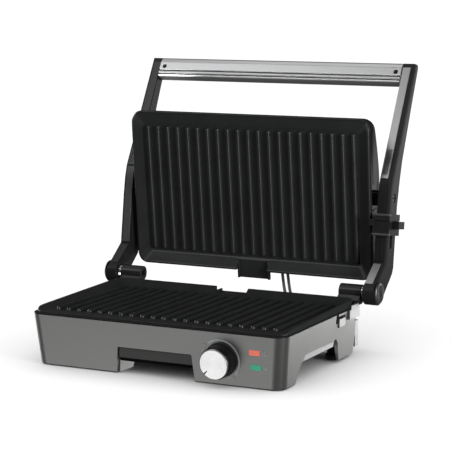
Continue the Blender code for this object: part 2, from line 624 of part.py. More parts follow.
HOUSING_LOW = -FACE_DEPTH + 4.9
shell = loft("upper_housing", dome_rings(0.0, HOUSING_LOW), "black_plastic", cap_pairs=True, origin=PIVOT,
             rot=OPEN)
hollow = loft("cut_upper_hollow", dome_rings(2.6, HOUSING_LOW - 4.0), None, cap_pairs=True, group=cutters,
              origin=PIVOT,
              rot=OPEN)
boolean(shell, hollow)
for side, tag in ((1, "right"), (-1, "left")):
    lo, hi = sorted((side * 158.2, side * 175.0))
    cut_box(shell, "cut_pivot_pocket_" + tag, (lo, hi), (-16.0, 16.0), (-13.5, 15.0), origin=PIVOT, rot=OPEN)
    cut_prism(shell, "cut_pivot_bore_" + tag, circle(0, 0, 4.08), "X", side * 140, side * 175, origin=PIVOT,
              rot=OPEN)
    turn = (PLATEN_TILT, 0, 0)
    lo, hi = sorted((side * 158.6, side * 170.1))
    block = prism("pivot_block_" + tag, circle(0, 0, 9.0, n=40), "X", lo, hi, "black_plastic", origin=PIVOT,
                  rot=turn)
    ear = [(-8.0, -10.0), (8.0, -10.0), (8.0, 4.0), (-8.0, 4.0)]
    cut_prism(block, "add_block_ear_" + tag, ear, "X", lo, hi, "UNION", origin=PIVOT, rot=turn)
    lo, hi = sorted((side * 153.0, side * 181.0))
    cut_prism(block, "add_block_stub_" + tag, circle(0, 0, 4.0, n=40), "X", lo, hi, "UNION", origin=PIVOT,
              rot=turn)
cut_box(shell, "cut_lead_exit", (28.0, 44.5), (90.0, 110.0), (-9.0, -0.6), origin=PIVOT, rot=OPEN)
grill_plate("upper_grill_plate", True, (0, PIVOT_Y - FACE_DEPTH * math.cos(math.radians(90 + PLATEN_TILT)),
                                        PIVOT_Z - FACE_DEPTH * math.sin(math.radians(90 + PLATEN_TILT))), OPEN)


def cover_ring(inset, lift):
    pts = rounded(142.0 - inset, -80.0 + inset, 80.0 - inset, 12.0, side=14)
    return [(x, y, dome(y) + lift) for x, y in pts]


cover_faces_low = cover_ring(0.0, 0.3)
cover_rings = [cover_ring(0.0, 0.3), cover_ring(0.0, 1.2), cover_ring(0.6, 1.7)]
n_ring = len(cover_faces_low)
cover_points = [p for r in cover_rings for p in r]
cover_faces = []
for level in range(2):
    for i in range(n_ring):
        j = (i + 1) % n_ring
        cover_faces.append((level * n_ring + i, level * n_ring + j, (level + 1) * n_ring + j,
                            (level + 1) * n_ring + i))
for base in (0, 2 * n_ring):
    for i in range(n_ring // 2 - 1):
        cover_faces.append((base + i, base + i + 1, base + n_ring - 2 - i, base + n_ring - 1 - i))
finish("upper_cover", mesh_of("upper_cover", cover_points, cover_faces), "brushed", origin=PIVOT, rot=OPEN)
pan("upper_reflector", (-148, 148), (-88, 88), (7.0, -2.0), 1.0, "sheet", origin=PIVOT, rot=OPEN)
upper_path = fillet([(-14, 86, -6.4), (-14, 60, -6.4), (-118, 60, -6.4), (-118, -62, -6.4), (118, -62, -6.4),
                     (118, 60, -6.4), (14, 60, -6.4), (14, 86, -6.4)], 22.0, 6)
tube("upper_element", upper_path, 3.2, "sheath", origin=PIVOT, rot=OPEN)

# ---- heat-resistant leads from the base to the platen ----
for tag, dx in (("a", 0.0), ("b", 7.4)):
    path = fillet([(49.5 + dx, 206, 47), (49.5 + dx, 262, 47), (40 + dx, 272, 60), (32.5 + dx, 278.4, 92)],
                  9.0, 5)
    tube("lead_" + tag, path, 1.9, "braid")

for ob in list(part.objects) + list(cutters.objects):
    ob.location.x += SHIFT_X * MM
    ob.location.y += SHIFT_Y * MM
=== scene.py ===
import math

import bmesh
import bpy
from mathutils import Matrix, Vector


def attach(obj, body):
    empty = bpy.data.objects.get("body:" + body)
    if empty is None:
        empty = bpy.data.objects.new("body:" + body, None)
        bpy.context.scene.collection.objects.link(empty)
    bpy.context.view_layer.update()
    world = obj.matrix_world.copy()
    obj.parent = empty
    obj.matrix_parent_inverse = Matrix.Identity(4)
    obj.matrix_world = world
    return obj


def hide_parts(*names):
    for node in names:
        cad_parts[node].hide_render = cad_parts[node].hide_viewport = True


# The looks of an open panini press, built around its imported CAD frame.
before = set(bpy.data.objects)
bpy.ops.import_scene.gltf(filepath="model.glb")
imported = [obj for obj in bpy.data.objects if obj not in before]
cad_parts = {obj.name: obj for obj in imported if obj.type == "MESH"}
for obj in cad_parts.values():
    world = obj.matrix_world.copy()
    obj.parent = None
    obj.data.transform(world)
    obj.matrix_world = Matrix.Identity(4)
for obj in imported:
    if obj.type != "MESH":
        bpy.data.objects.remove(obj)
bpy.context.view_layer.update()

MM = 0.001
SHIFT = Vector((-3.8, -166.708, 0.0))     # from the press frame, in mm, to the CAD frame
FINE_SHARE = 0.65                         # of the grain in a surface's colour; the rest is slow drift

# ------------------------------------------------------------------ materials


def link(nt, a, b):
    nt.links.new(a, b)


def ramp(nt, fac, low, high, a=0.3, b=0.7):
    node = nt.nodes.new("ShaderNodeValToRGB")
    node.color_ramp.elements[0].position = a
    node.color_ramp.elements[1].position = b
    node.color_ramp.elements[0].color = (*low, 1.0)
    node.color_ramp.elements[1].color = (*high, 1.0)
    link(nt, fac, node.inputs["Fac"])
    return node.outputs["Color"]


def spread(nt, fac, low, high):
    node = nt.nodes.new("ShaderNodeMapRange")
    node.inputs["To Min"].default_value = low
    node.inputs["To Max"].default_value = high
    link(nt, fac, node.inputs["Value"])
    return node.outputs["Result"]


def noise(nt, vector, scale, detail=4.0, rough=0.6):
    node = nt.nodes.new("ShaderNodeTexNoise")
    node.inputs["Scale"].default_value = scale
    node.inputs["Detail"].default_value = detail
    node.inputs["Roughness"].default_value = rough
    link(nt, vector, node.inputs["Vector"])
    return node.outputs["Fac"]


def radius_vector(nt, coord):
    """Distance from local Z, so that the grain runs in rings."""
    split = nt.nodes.new("ShaderNodeSeparateXYZ")
    link(nt, coord, split.inputs[0])
    flat = nt.nodes.new("ShaderNodeCombineXYZ")
    link(nt, split.outputs["X"], flat.inputs["X"])
    link(nt, split.outputs["Y"], flat.inputs["Y"])
    length = nt.nodes.new("ShaderNodeVectorMath")
    length.operation = "LENGTH"
    link(nt, flat.outputs[0], length.inputs[0])
    join = nt.nodes.new("ShaderNodeCombineXYZ")
    link(nt, length.outputs["Value"], join.inputs["X"])
    return join.outputs[0]


def stretched_vector(nt, coord, stretch):
    """Local position scaled along each axis, so that the grain can run in streaks."""
    mapping = nt.nodes.new("ShaderNodeMapping")
    mapping.inputs["Scale"].default_value = stretch
    link(nt, coord, mapping.inputs["Vector"])
    return mapping.outputs["Vector"]


def surface(name, colour, rough, metal=0.0, vary=0.10, cloud=18.0, grain=1500.0, stretch=(1, 1, 1), bump=0.15,
            depth=0.05, rough_vary=0.06, radial=False, **sockets):
    """Principled surface: slow colour drift, fine grain in colour and roughness, and a bump from it."""
    m = bpy.data.materials.new(name)
    m.use_nodes = True
    nt = m.node_tree
    shader = nt.nodes["Principled BSDF"]
    coord = nt.nodes.new("ShaderNodeTexCoord").outputs["Object"]
    fine_vector = radius_vector(nt, coord) if radial else stretched_vector(nt, coord, stretch)
    fine = noise(nt, fine_vector, grain, 3.0)
    slow = noise(nt, coord, cloud, 2.0)
    mix = nt.nodes.new("ShaderNodeMath")
    mix.operation = "MULTIPLY_ADD"
    link(nt, fine, mix.inputs[0])
    mix.inputs[1].default_value = FINE_SHARE
    scaled = nt.nodes.new("ShaderNodeMath")
    scaled.operation = "MULTIPLY"
    scaled.inputs[1].default_value = 1.0 - FINE_SHARE
    link(nt, slow, scaled.inputs[0])
    link(nt, scaled.outputs[0], mix.inputs[2])
    low = [c * (1 - vary) for c in colour]
    high = [min(c * (1 + vary), 1.0) for c in colour]
    link(nt, ramp(nt, mix.outputs[0], low, high), shader.inputs["Base Color"])
    rough_drift = spread(nt, mix.outputs[0], max(rough - rough_vary, 0.02), rough + rough_vary)
    link(nt, rough_drift, shader.inputs["Roughness"])
    shader.inputs["Metallic"].default_value = metal
    lift = nt.nodes.new("ShaderNodeBump")
    lift.inputs["Strength"].default_value = bump
    lift.inputs["Distance"].default_value = depth * MM
    link(nt, fine, lift.inputs["Height"])
    link(nt, lift.outputs["Normal"], shader.inputs["Normal"])
    for key, value in sockets.items():
        shader.inputs[key.replace("_", " ")].default_value = value
    if radial:
        tangent = nt.nodes.new("ShaderNodeTangent")
        tangent.direction_type = "RADIAL"
        tangent.axis = "Z"
        link(nt, tangent.outputs[0], shader.inputs["Tangent"])
    return m


ALONG_X = (0.012, 1, 1)
ALONG_Z = (1, 1, 0.012)
PAINT = surface("gunmetal_paint", (0.245, 0.245, 0.241), 0.42, 0.6, 0.10, 14, 2600, bump=0.10, depth=0.03)
# A darker copy of the gunmetal paint, as painted shade on the drip tray's front.
PAINT_SHADED = surface("gunmetal_painted_shade", (0.075, 0.075, 0.073), 0.42, 0.4, 0.10, 14, 2600, bump=0.10,
                     depth=0.03)
COAT = surface("nonstick_coat", (0.024, 0.0255, 0.025), 0.36, 0.0, 0.35, 30, 1300, bump=0.12, depth=0.05,
               rough_vary=0.05)
BLACK = surface("black_plastic", (0.012, 0.012, 0.012), 0.33, 0.0, 0.25, 20, 1700, bump=0.15, depth=0.05)
BLACK_MATT = surface("black_texture", (0.018, 0.018, 0.018), 0.55, 0.0, 0.3, 20, 1100, bump=0.4, depth=0.1)
GREY_DARK = surface("dark_arm_plastic", (0.046, 0.046, 0.046), 0.38, 0.0, 0.15, 20, 1900, bump=0.12,
                    depth=0.04, Specular_IOR_Level=0.3)
BAR = surface("brushed_bar", (0.78, 0.785, 0.79), 0.34, 0.85, 0.05, 10, 1400, ALONG_X, 0.07, 0.02, 0.04)
BARREL = surface("barrel_plastic", (0.050, 0.050, 0.050), 0.26, 0.0, 0.15, 20, 1900, bump=0.08, depth=0.03)
BAR_LINE = surface("bar_channel", (0.06, 0.06, 0.055), 0.35, 0.5, 0.2, 10, 1400, ALONG_X, 0.2, 0.03)
# The three brushed trims below are one trim in three tones: on the arms the lighter and darker ones are
# painted light and painted shade.
TRIM = surface("brushed_trim", (0.62, 0.62, 0.62), 0.33, 0.75, 0.07, 10, 1400, ALONG_Z, 0.25, 0.03, 0.08)
TRIM_MID = surface("trim_mid_tone", (0.30, 0.30, 0.30), 0.36, 0.6, 0.10, 10, 1400, ALONG_Z, 0.25, 0.03)
TRIM_SHADED = surface("trim_painted_shade", (0.055, 0.055, 0.055), 0.28, 0.4, 0.15, 10, 1400, ALONG_Z, 0.2, 0.03)
STEEL = surface("turned_steel", (0.52, 0.52, 0.52), 0.28, 1.0, 0.08, 20, 2200, bump=0.15, depth=0.03)
CHROME = surface("bright_ring", (0.74, 0.74, 0.74), 0.16, 1.0, 0.05, 20, 2200, bump=0.05, depth=0.02)
SPUN = surface("spun_cap", (0.66, 0.66, 0.66), 0.27, 0.75, 0.05, 30, 2800, bump=0.3, depth=0.02,
               rough_vary=0.05, radial=True, Anisotropic=0.75)
DISC = surface("spun_disc", (0.32, 0.32, 0.32), 0.30, 0.8, 0.08, 30, 2400, bump=0.3, depth=0.02, radial=True,
               Anisotropic=0.6)
RUBBER = surface("foot_rubber", (0.020, 0.020, 0.020), 0.8, 0.0, 0.3, 30, 900, bump=0.5, depth=0.15)
SHEET = surface("mill_sheet", (0.60, 0.60, 0.60), 0.42, 0.9, 0.10, 30, 1500, ALONG_X, 0.2, 0.03)
SHEATH = surface("tinted_sheath", (0.22, 0.19, 0.16), 0.45, 0.8, 0.35, 45, 1800, bump=0.2, depth=0.05)
CERAMIC = surface("unglazed_ceramic", (0.74, 0.71, 0.64), 0.6, 0.0, 0.08, 60, 900, bump=0.3, depth=0.1)
PRINT = surface("pale_print", (0.80, 0.84, 0.86), 0.5, 0.0, 0.06, 60, 2200, bump=0.1, depth=0.02)
RED = surface("red_lens", (0.80, 0.20, 0.13), 0.26, 0.0, 0.08, 60, 1200, bump=0.15, depth=0.05,
              Coat_Weight=0.4, Emission_Color=(0.85, 0.20, 0.13, 1.0), Emission_Strength=0.50)
GREEN = surface("green_lens", (0.045, 0.38, 0.22), 0.26, 0.0, 0.08, 60, 1200, bump=0.15, depth=0.05,
                Coat_Weight=0.4, Emission_Color=(0.04, 0.42, 0.24, 1.0), Emission_Strength=0.45)
BRAID = surface("woven_sleeve", (0.30, 0.30, 0.285), 0.65, 0.1, 0.35, 60, 1100, (1, 1, 0.5), 0.6, 0.2)

# ------------------------------------------------------------------ mesh tools


def bm_faces(points, faces):
    bm = bmesh.new()
    verts = [bm.verts.new(p) for p in points]
    for f in faces:
        bm.faces.new([verts[i] for i in f])
    bmesh.ops.recalc_face_normals(bm, faces=bm.faces)
    return bm


def loft(rings, pairs=False, caps=(True, True)):
    """Skin over rings of equal length; `pairs` caps a mirrored ring with a strip of four-sided faces."""
    n = len(rings[0])
    points = [p for r in rings for p in r]
    faces = []
    for k in range(len(rings) - 1):
        for i in range(n):
            j = (i + 1) % n
            faces.append((k * n + i, k * n + j, (k + 1) * n + j, (k + 1) * n + i))
    top = (len(rings) - 1) * n
    for on, start in zip(caps, (0, top)):
        if on and pairs:
            for i in range(n // 2 - 1):
                faces.append((start + i, start + i + 1, start + n - 2 - i, start + n - 1 - i))
        elif on:
            faces.append(tuple(start + i for i in range(n)))
    return bm_faces(points, faces)


def prism(outline, axis, lo, hi):
    def at(p, h):
        return {"X": (h, p[0], p[1]), "Y": (p[0], h, p[1]), "Z": (p[0], p[1], h)}[axis]
    return loft([[at(p, lo) for p in outline], [at(p, hi) for p in outline]])


def block(x, y, z):
    return prism([(x[0], y[0]), (x[1], y[0]), (x[1], y[1]), (x[0], y[1])], "Z", z[0], z[1])


def turned(profile, steps=96, closed=False):
    """Body of revolution about local Z; profile of (radius, height)."""
    angles = [2 * math.pi * i / steps for i in range(steps)]
    rings = [[(r * math.cos(a), r * math.sin(a), h) for a in angles] for r, h in profile]
    if closed:
        return loft(rings + [rings[0]], caps=(False, False))
    return loft(rings)


def circle(cy, cz, r, a0=0.0, a1=360.0, n=48):
    """Points of a full circle, or of an arc from a0 to a1 degrees."""
    count = n if abs(a1 - a0) >= 360.0 else n + 1
    return [(cy + r * math.cos(math.radians(a0 + (a1 - a0) * i / n)),
             cz + r * math.sin(math.radians(a0 + (a1 - a0) * i / n))) for i in range(count)]


def rounded(hx, y0, y1, r, side=1, corner=12):
    """Rectangle with round corners, its right half mirrored, with `side` steps along each long edge."""
    right = []
    for i in range(corner + 1):
        a = math.radians(-90.0 + 90.0 * i / corner)
        right.append((hx - r + r * math.cos(a), y0 + r + r * math.sin(a)))
    for i in range(1, side):
        right.append((hx, y0 + r + (y1 - y0 - 2 * r) * i / side))
    for i in range(corner + 1):
        a = math.radians(90.0 * i / corner)
        right.append((hx - r + r * math.cos(a), y1 - r + r * math.sin(a)))
    return right + [(-p[0], p[1]) for p in reversed(right)]


def round_path(corners, r, n=6):
    """Polyline of 2-D or 3-D points with its inner corners rounded."""
    out = [Vector(corners[0])]
    for i in range(1, len(corners) - 1):
        c = Vector(corners[i])
        a, b = Vector(corners[i - 1]) - c, Vector(corners[i + 1]) - c
        ra, rb = min(r, a.length * 0.45), min(r, b.length * 0.45)
        for k in range(n + 1):
            t = k / n
            out.append(c + a.normalized() * ra * (1 - t) ** 2 + b.normalized() * rb * t ** 2)
    return out + [Vector(corners[-1])]


def mesh_from(bm, name):
    mesh = bpy.data.meshes.new(name)
    bm.to_mesh(mesh)
    bm.free()
    return mesh


def carve(bm, cutters, how="DIFFERENCE"):
    """Boolean of one body with several others, as a new bmesh."""
    scene = bpy.context.scene
    ob = bpy.data.objects.new("work", mesh_from(bm, "work"))
    scene.collection.objects.link(ob)
    tools = []
    for i, c in enumerate(cutters):
        tool = bpy.data.objects.new("tool%d" % i, mesh_from(c, "tool"))
        scene.collection.objects.link(tool)
        tools.append(tool)
        mod = ob.modifiers.new("cut", "BOOLEAN")
        mod.operation, mod.solver, mod.object = how, "EXACT", tool
    dg = bpy.context.evaluated_depsgraph_get()
    made = bpy.data.meshes.new_from_object(ob.evaluated_get(dg))
    out = bmesh.new()
    out.from_mesh(made)
    for o in [ob] + tools:
        bpy.data.objects.remove(o)
    bmesh.ops.dissolve_limit(out, angle_limit=math.radians(0.3), verts=out.verts, edges=out.edges)
    return out


def soften(ob, width, segments=3, angle=30.0):
    """Rounded edges, `width` in mm, and normals that keep the flats flat."""
    if width:
        mod = ob.modifiers.new("edge", "BEVEL")
        mod.width = width * MM
        mod.segments = segments
        mod.limit_method = "ANGLE"
        mod.angle_limit = math.radians(angle)
    mod = ob.modifiers.new("normals", "WEIGHTED_NORMAL")
    mod.weight = 80


def add(name, bm, mat, body, nodes=(), at=None, local=False, bevel=0.0, segments=3, angle=30.0):
    """Put a piece in the CAD frame. Its points are in mm in the press frame, or about the matrix `at`.

    A `local` piece keeps its own axes, which a ringed grain needs.
    """
    mesh = mesh_from(bm, name)
    at = at or Matrix.Identity(4)
    ob = bpy.data.objects.new(name, mesh)
    bpy.context.scene.collection.objects.link(ob)
    if local:
        mesh.transform(Matrix.Scale(MM, 4))
        place = at.copy()
        place.translation = (at.translation + SHIFT) * MM
        ob.matrix_world = place
    else:
        mesh.transform(Matrix.Scale(MM, 4) @ Matrix.Translation(SHIFT) @ at)
    mesh.shade_smooth()
    mesh.materials.append(mat)
    soften(ob, bevel, segments, angle)
    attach(ob, body)
    if nodes:
        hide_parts(*nodes)


def axis_at(origin, *turns):
    """Matrix at `origin`, turned by each (degrees, axis) in order."""
    m = Matrix.Translation(Vector(origin))
    for angle, axis in turns:
        m = m @ Matrix.Rotation(math.radians(angle), 4, axis)
    return m


# ------------------------------------------------------------------ press dimensions (mm, press frame)
SIDES = ((1, "right"), (-1, "left"))
TOP, DRAFT = 62.4, 6.0                    # the base's height, and how far its walls lean in at the foot
BASE_HALF_W, BASE_DEPTH, BASE_CORNER = 165.0, 225.0, 14.0
SEAL_DEPTH = 207.0
FRONT_TILT = math.degrees(math.atan2(DRAFT, TOP))
VENTS, VENT_PITCH, VENT_GAP = 15, 10, 26
PLATE_W, PLATE_D = 163.5, 100.0           # half sizes
RIDGES, RIDGE_PITCH, RIDGE_H = 21, 14.17, 3.5
HINGE_Y, HINGE_Z = 224.0, 76.4
OPEN = axis_at((0.0, 272.0, 186.0), (-83.52, "X"))    # platen frame: at its pivots, tilted open
FACE = 19.7                               # from the pivots to the platen's cooking face
CASE_LOW = -FACE + 4.9
ARM_LEAN = 29.2
LEAN = math.radians(ARM_LEAN)
BAR_Y, BAR_Z, BAR_HALF_L = 337.4, 329.3, 170.0
SCREW_X, SCREW_UP = 163.0, 3.0
KNOB_X, KNOB_Z, POINTER_TURN = 84.7, 29.6, -46.0
POWER_LAMP, READY_LAMP = (127.2, 42.0), (128.4, 25.3)
LEAD_R, LEAD_PITCH = 1.9, 7.4


def inset(z):
    """How far the base's walls lean in at height z."""
    return DRAFT * (TOP - z) / TOP


def front_plane(x, z):
    """Frame on the base's leaning front, its Z pointing out."""
    return axis_at((x, inset(z), z), (90 + FRONT_TILT, "X"))


def base_ring(z, extra, depth=BASE_DEPTH):
    d = inset(z) + extra
    outline = rounded(BASE_HALF_W - d, d, depth - d, max(BASE_CORNER - extra, 2.0), corner=14)
    return [(x, y, z) for x, y in outline]


# ------------------------------------------------------------------ base shell
shell = loft([base_ring(0.8, 1.4), base_ring(1.3, 0.5), base_ring(2.2, 0.0), base_ring(60.8, 0.0),
              base_ring(61.8, 0.35), base_ring(62.4, 1.2)])
arch = [(38.0, -8.0), (40.0, 1.0), (46.0, 12.5), (52.0, 21.5), (54.5, 23.8), (58.0, 24.6), (144.5, 24.6),
        (145.2, 30.6), (147.0, 32.6), (150.0, 32.4), (153.5, 30.2), (157.0, 26.5), (158.7, 22.0),
        (160.3, 16.0), (162.6, 10.0), (166.0, 4.2), (238.0, 4.2), (238.0, -8.0)]
rear_arch = [(-118, -8), (-112, 20), (112, 20), (118, -8)]
slot_outline = [(-51, -8), (-50.2, 6), (-48, 31), (-47, 32), (47, 32), (48, 31), (50.2, 6), (51, -8)]
grip_outline = [(53.0, 18.0), (57.5, 24.0), (62.5, 31.2), (149.0, 30.4), (149.0, 18.0)]
tools = [block((-156, 156), (9, 201), (36.3, 70)),             # under the lower plate
         block((-48.5, 48.5), (8.2, 150), (-8, 33)),           # tray bay
         block((-60, 60), (153, 200.4), (-8, 41)),             # behind the bay
         block((-151, 151), (204, 215), (-8, 59)),             # along the rear wall
         prism(arch, "X", -190, 190),
         prism(rear_arch, "Y", 203, 239),
         prism(slot_outline, "Y", -8, 10),
         block((-14.3, 14.3), (212, 232), (36.7, 57.3)),       # mains inlet
         block((46.9, 59.5), (212, 232), (44.6, 49.4))]        # leads
grown = []
for s, _ in SIDES:
    room = [(s * 51.5, 8.6), (s * 146.0, 8.6), (s * 156.6, 19.2), (s * 156.6, 201.6), (s * 51.5, 201.6)]
    tools.append(prism(room, "Z", -8, 42))
    tools.append(prism(grip_outline, "X", *sorted((s * 161.2, s * 175.0))))
    tools.append(block(sorted((s * 157.5, s * 175.0)), (153.0, 172.5), (45.0, 58.8)))    # latch pocket
    tools.append(block(sorted((s * 157.7, s * 176.0)), (145.6, 153.4), (50.8, 64.0)))    # slot beside it
    tools.append(block(sorted((s * 150.0, s * 162.0)), (156.5, 168.5), (47.5, 54.5)))    # latch stem
    rear_corner = [(s * 167.5, 197.5), (s * 151.5, 232.0), (s * 180.0, 240.0), (s * 180.0, 197.5)]
    tools.append(prism(rear_corner, "Z", -9, 49.5))
    grown.append(block(sorted((s * 161.0, s * 167.2)), (180.5, 211.0), (50.5, 61.6)))    # shoulder
    grown.append(block(sorted((s * 164.3, s * 167.0)), (186.0, 208.5), (60.0, 66.4)))    # its lip
    grown.append(block(sorted((s * 143.0, s * 152.0)), (217.5, 230.0), (12.0, 35.0)))    # cord cleat's neck
    grown.append(block(sorted((s * 140.5, s * 154.4)), (228.0, 237.5), (7.5, 39.5)))     # cord cleat's end
for lx, lz in (POWER_LAMP, READY_LAMP):
    tools.append(block((lx - 6.7, lx + 6.7), (-6, 10), (lz - 3.2, lz + 3.2)))
for i in range(VENTS):
    vx = -98 + VENT_PITCH * i + (VENT_GAP if i > VENTS // 2 else 0)
    tools.append(block((vx - 1.2, vx + 1.2), (216.4, 232), (30, 42)))
add("base_shell", carve(carve(shell, tools), grown, "UNION"), PAINT, "base", ["base_housing"],
    bevel=0.5, segments=2, angle=35)

# Black seal ring in the gap under the lower plate, partly painted shade: its band runs down over the top edge
# of the base's wall, a little proud of it, to widen the gap's dark line.
seal_rows = ((61.3, -0.06), (62.5, -0.06), (62.95, 0.5), (63.05, 1.5), (63.05, 6.0), (61.3, 6.0))
seal = [base_ring(z, extra, SEAL_DEPTH) for z, extra in seal_rows]
add("seal_and_gap_shade", loft(seal + [seal[0]], caps=(False, False)), BLACK_MATT, "base")

# ------------------------------------------------------------------ grill plates


def rim(y):
    """Height of a plate's rim, which falls to a pouring lip at the front."""
    if y <= -96.0:
        return -2.8
    if y <= -84.0:
        t = (y + 96.0) / 12.0
        return -2.8 + 3.8 * t * t * (3 - 2 * t)
    return 1.0 + 4.0 * (y + 84.0) / 184.0


def grill(name, node, body, flip, at):
    """A ribbed plate, face up, or face down with `flip`."""
    def ring(ix, f, b, r, h):
        pts = rounded(PLATE_W - ix, -PLATE_D + f, PLATE_D - b, r, side=24, corner=12)
        return [(p[0], p[1], h(p[1]) if callable(h) else h) for p in pts]

    def top(drop):
        return lambda y: rim(y) - drop

    low = -RIDGE_H
    rings = [ring(12, 12, 12, 8, -9.5), ring(10, 10, 10, 8, -4.5), ring(0.8, 0.8, 0.8, 13, -4.5),
             ring(0.2, 0.2, 0.2, 13, -4.3), ring(0, 0, 0, 13, -3.7), ring(0, 0, 0, 13, top(1.0)),
             ring(0.2, 0.2, 0.2, 12.8, top(0.4)), ring(0.7, 0.7, 0.7, 12.4, top(0.08)),
             ring(1.4, 1.3, 1.4, 11.8, top(0.0)), ring(2.4, 2.2, 2.4, 10.8, top(0.06)),
             ring(3.4, 3.4, 3.4, 10.0, top(0.45)), ring(13.6, 14.6, 14.0, 6.4, low + 0.55),
             ring(15.2, 16.4, 15.8, 5.6, low + 0.12), ring(17.4, 19.0, 18.0, 4.6, low)]
    side = -1.0 if flip else 1.0
    rings = [[(side * p[0], p[1], side * p[2]) for p in r] for r in rings]
    plate = loft(rings, pairs=True)

    def tool(x, y, z):
        return block(x, y, sorted((side * z[0], side * z[1])))

    plate = carve(plate, [tool((-22, 22), (82, 120), (low + 0.6, 20))])
    spout = [tool((-22, 22), (88, 111), (-4.3, low + 0.7)),
             tool((-22.2, -20), (88, 111.2), (-4.1, 0.0)),
             tool((20, 22.2), (88, 111.2), (-4.1, 0.0))]
    plate = carve(plate, spout, "UNION")
    add(name, plate, COAT, body, [node], at=at, bevel=0.25, segments=2, angle=50)

    def stadium(half_w, half_l, h):
        pts = []
        for sy in (1, -1):
            for i in range(9):
                a = math.radians(180.0 * i / 8) if sy > 0 else math.radians(180.0 + 180.0 * i / 8)
                pts.append((half_w * math.cos(a), sy * (half_l - half_w) + half_w * math.sin(a), h))
        return pts

    bars = bmesh.new()
    profile = ((3.1, 82.2, -RIDGE_H - 0.05), (2.8, 81.9, -RIDGE_H + 0.3), (2.6, 81.6, -2.2),
               (2.35, 81.3, -1.3), (1.9, 80.8, -0.6), (1.3, 80.2, -0.16), (0.6, 79.5, 0.0))
    for i in range(RIDGES):
        cx = (i - RIDGES // 2) * RIDGE_PITCH
        one = loft([[(side * (p[0] + cx), p[1], side * p[2]) for p in stadium(*row)] for row in profile])
        part_mesh = mesh_from(one, "bar")
        bars.from_mesh(part_mesh)
        bpy.data.meshes.remove(part_mesh)
    add(name + "_ridges", bars, COAT, body, at=at)


grill("lower_plate_cast", "lower_grill_plate", "base", False, axis_at((0, 105.9, 67.3)))
grill("upper_plate_cast", "upper_grill_plate", "platen", True, OPEN @ Matrix.Translation((0, 0, -FACE)))


# ------------------------------------------------------------------ platen housing and its back cover
def dome(y):
    """Height of the housing's back over its depth."""
    if y < -20.0:
        return 31.0 - 13.5 * ((-20.0 - y) / 77.0) ** 1.6
    return 31.0 - 3.0 * ((y + 20.0) / 117.0) ** 2


def dome_rings(base, low, rows):
    out = []
    for extra, drop, share in rows:
        d = base + extra
        pts = rounded(160.0 - d, -97.5 + d, 97.5 - d, max(14.0 - 0.4 * d, 4.0), side=28, corner=10)
        out.append([(x, y, low + share * (dome(y) - base - drop - low) if share else low) for x, y in pts])
    return out


outer = ((0.0, 0.0, 0.0), (0.35, 0.0, 0.28), (0.8, 0.0, 0.28), (0.8, 0.0, 0.31), (0.4, 0.0, 0.31),
         (0.6, 0.0, 0.45), (2.2, 7.5, 1.0), (2.9, 5.0, 1.0), (4.3, 3.0, 1.0), (6.6, 1.2, 1.0),
         (10.0, 0.0, 1.0))
inner = ((0.0, 0.0, 0.0), (0.6, 0.0, 0.45), (2.2, 7.5, 1.0), (5.0, 2.6, 1.0), (10.0, 0.0, 1.0))
case = loft(dome_rings(0.0, CASE_LOW, outer), pairs=True)
tools = [loft(dome_rings(2.6, CASE_LOW - 4.0, inner), pairs=True), block((28, 44.5), (90, 110), (-9.0, -0.6))]
for s, _ in SIDES:
    tools.append(block(sorted((s * 158.2, s * 175.0)), (-16, 16), (-13.5, 15.0)))
    tools.append(prism(circle(0, 0, 4.08), "X", *sorted((s * 140, s * 175))))
add("platen_case", carve(case, tools), BLACK, "platen", ["upper_housing"], at=OPEN,
    bevel=0.3, segments=2, angle=45)


def cover_ring(d, lift):
    outline = rounded(142.0 - d, -80.0 + d, 80.0 - d, 12.0, side=28, corner=10)
    return [(x, y, dome(y) + lift) for x, y in outline]


cover = [cover_ring(d, lift) for d, lift in ((0, 0.3), (0, 1.1), (0.3, 1.5), (0.9, 1.7))]
add("platen_cover", loft(cover, pairs=True), BAR, "platen", ["upper_cover"], at=OPEN)

# ------------------------------------------------------------------ handle bar


def bar_point(a, b):
    """Point of the bar's section, `a` up along the arms and `b` out of their front."""
    return (BAR_Y + a * math.sin(LEAN) - b * math.cos(LEAN), BAR_Z + a * math.cos(LEAN) + b * math.sin(LEAN))


corners = [(18.9, -3.6), (17.9, 1.6), (14.6, 6.2), (9.4, 8.5), (-1.3, 8.5), (-1.5, 7.5), (-3.6, 7.5),
           (-3.8, 8.5), (-6.2, 8.5), (-6.4, 7.1), (-8.2, 7.1), (-8.5, 8.0), (-10.6, 5.8), (-11.3, 1.5),
           (-11.3, -5.0), (-8.0, -8.5), (10.5, -8.5), (18.9, -3.6)]
section = round_path(corners, 0.9, 4)[:-1]
bar = prism([bar_point(p.x, p.y) for p in section], "X", -BAR_HALF_L, BAR_HALF_L)
holes = []
for s, tag in SIDES:
    spot = axis_at((s * SCREW_X, BAR_Y + SCREW_UP * math.sin(LEAN), BAR_Z + SCREW_UP * math.cos(LEAN)),
                   (90 - ARM_LEAN, "X"))
    hole = turned([(0.01, 12), (2.9, 12), (2.9, 4.6), (0.01, 4.6)], 40)
    hole.transform(spot)
    holes.append(hole)
    head = turned([(0.01, 7.6), (1.9, 7.6), (2.4, 7.3), (2.6, 6.8), (2.6, 5.0), (0.01, 5.0)], 40)
    cross = [block((-1.5, 1.5), (-0.32, 0.32), (6.4, 9)), block((-0.32, 0.32), (-1.5, 1.5), (6.5, 9.1))]
    add("bar_screw_" + tag, carve(head, cross), BLACK, "handle_frame", ["handle_screw_" + tag],
        at=spot, bevel=0.06)
add("bar_extrusion", carve(bar, holes), BAR, "handle_frame", ["handle_bar"], bevel=0.15,
    segments=2, angle=40)
